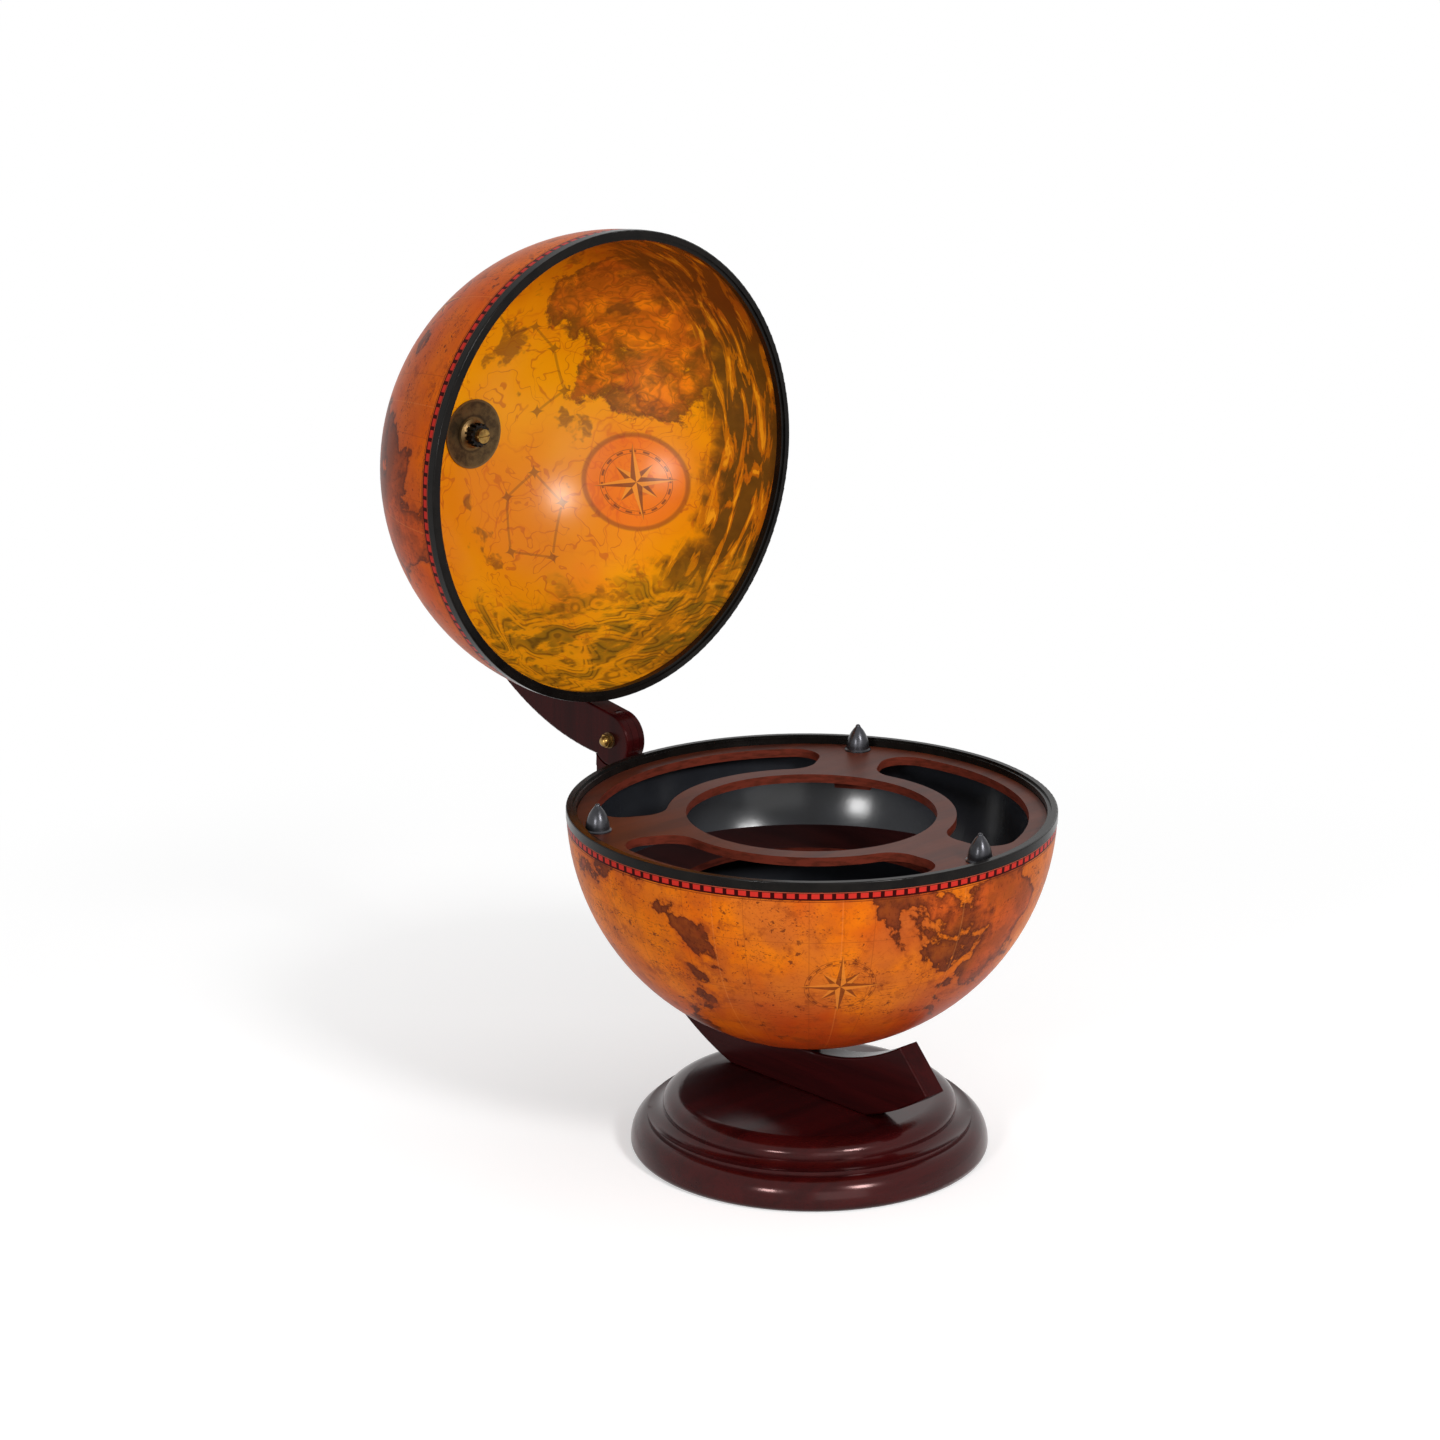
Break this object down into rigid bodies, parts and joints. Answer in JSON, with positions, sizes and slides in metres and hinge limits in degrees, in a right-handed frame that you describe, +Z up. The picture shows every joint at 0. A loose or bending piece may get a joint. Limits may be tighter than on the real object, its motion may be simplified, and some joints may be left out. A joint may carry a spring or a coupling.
{
  "type": "tabletop globe bar",
  "caption": "Hinged hollow globe on a curved wooden arm and turned round base; the lid swings back over a bottle and glass holder, and both halves turn on pole bolts.",
  "frame": {"origin": "centre of the round base's underside, where the felt meets the table", "axes": "+Z up along the globe's axis, +Y towards the hinge at the back, -Y the front where the arm's tip points, +X to the right seen from the front"},
  "size_m": [0.3304, 0.5662, 0.6084],
  "materials": {
    "mahogany": "dark red mahogany stain, satin lacquer",
    "dowel_wood": "plain beech",
    "felt": "dark green felt",
    "globe_print": "pressed wood shell, orange antique map print outside, satin lacquer",
    "black_edging": "satin black",
    "holder_wood": "dark brown stained board with reddish edges",
    "peg_grey": "dark grey satin",
    "brass": "aged brass",
    "black_steel": "blackened",
    "zinc_steel": "zinc plated"
  },
  "bodies": {
    "stand": {"base_plinth": "mahogany", "felt_disc": "felt", "foot_screws": "zinc_steel", "foot_dowels": "dowel_wood", "lower_arm": "mahogany", "bowl_pole_bolt": "brass", "bowl_pole_nut": "zinc_steel", "bowl_pole_hub": "black_steel", "bowl_spacer": "brass"},
    "lower_globe": {"bowl_shell": "globe_print", "bowl_rim": "black_edging", "bowl_pole_disc": "brass", "top_shelf": "holder_wood", "shelf_blocks": "holder_wood", "shelf_pegs": "peg_grey", "ring_shelf": "holder_wood", "bowl_floor": "holder_wood"},
    "upper_arm_swing": {"upper_arm": "mahogany", "hinge_bolt": "brass", "hinge_washers": "brass", "hinge_cap_nut": "brass", "lid_pole_bolt": "brass", "lid_pole_nut": "zinc_steel", "lid_pole_hub": "black_steel", "lid_spacer": "brass"},
    "upper_globe": {"lid_shell": "globe_print", "lid_rim": "black_edging", "lid_pole_disc": "brass"}
  },
  "joints": [
    {"name": "bowl_spin", "type": "hinge", "parent": "stand", "child": "lower_globe", "pos_m": [0, 0, 0.245], "axis": [0, 0, 1], "continuous": true},
    {"name": "lid_hinge", "type": "hinge", "parent": "stand", "child": "upper_arm_swing", "pos_m": [0, 0.1951, 0.2481], "axis": [1, 0, 0], "range_deg": [0, 90]},
    {"name": "lid_spin", "type": "hinge", "parent": "upper_arm_swing", "child": "upper_globe", "pos_m": [0, 0.192, 0.4432], "axis": [0, 1, 0], "continuous": true}
  ]
}
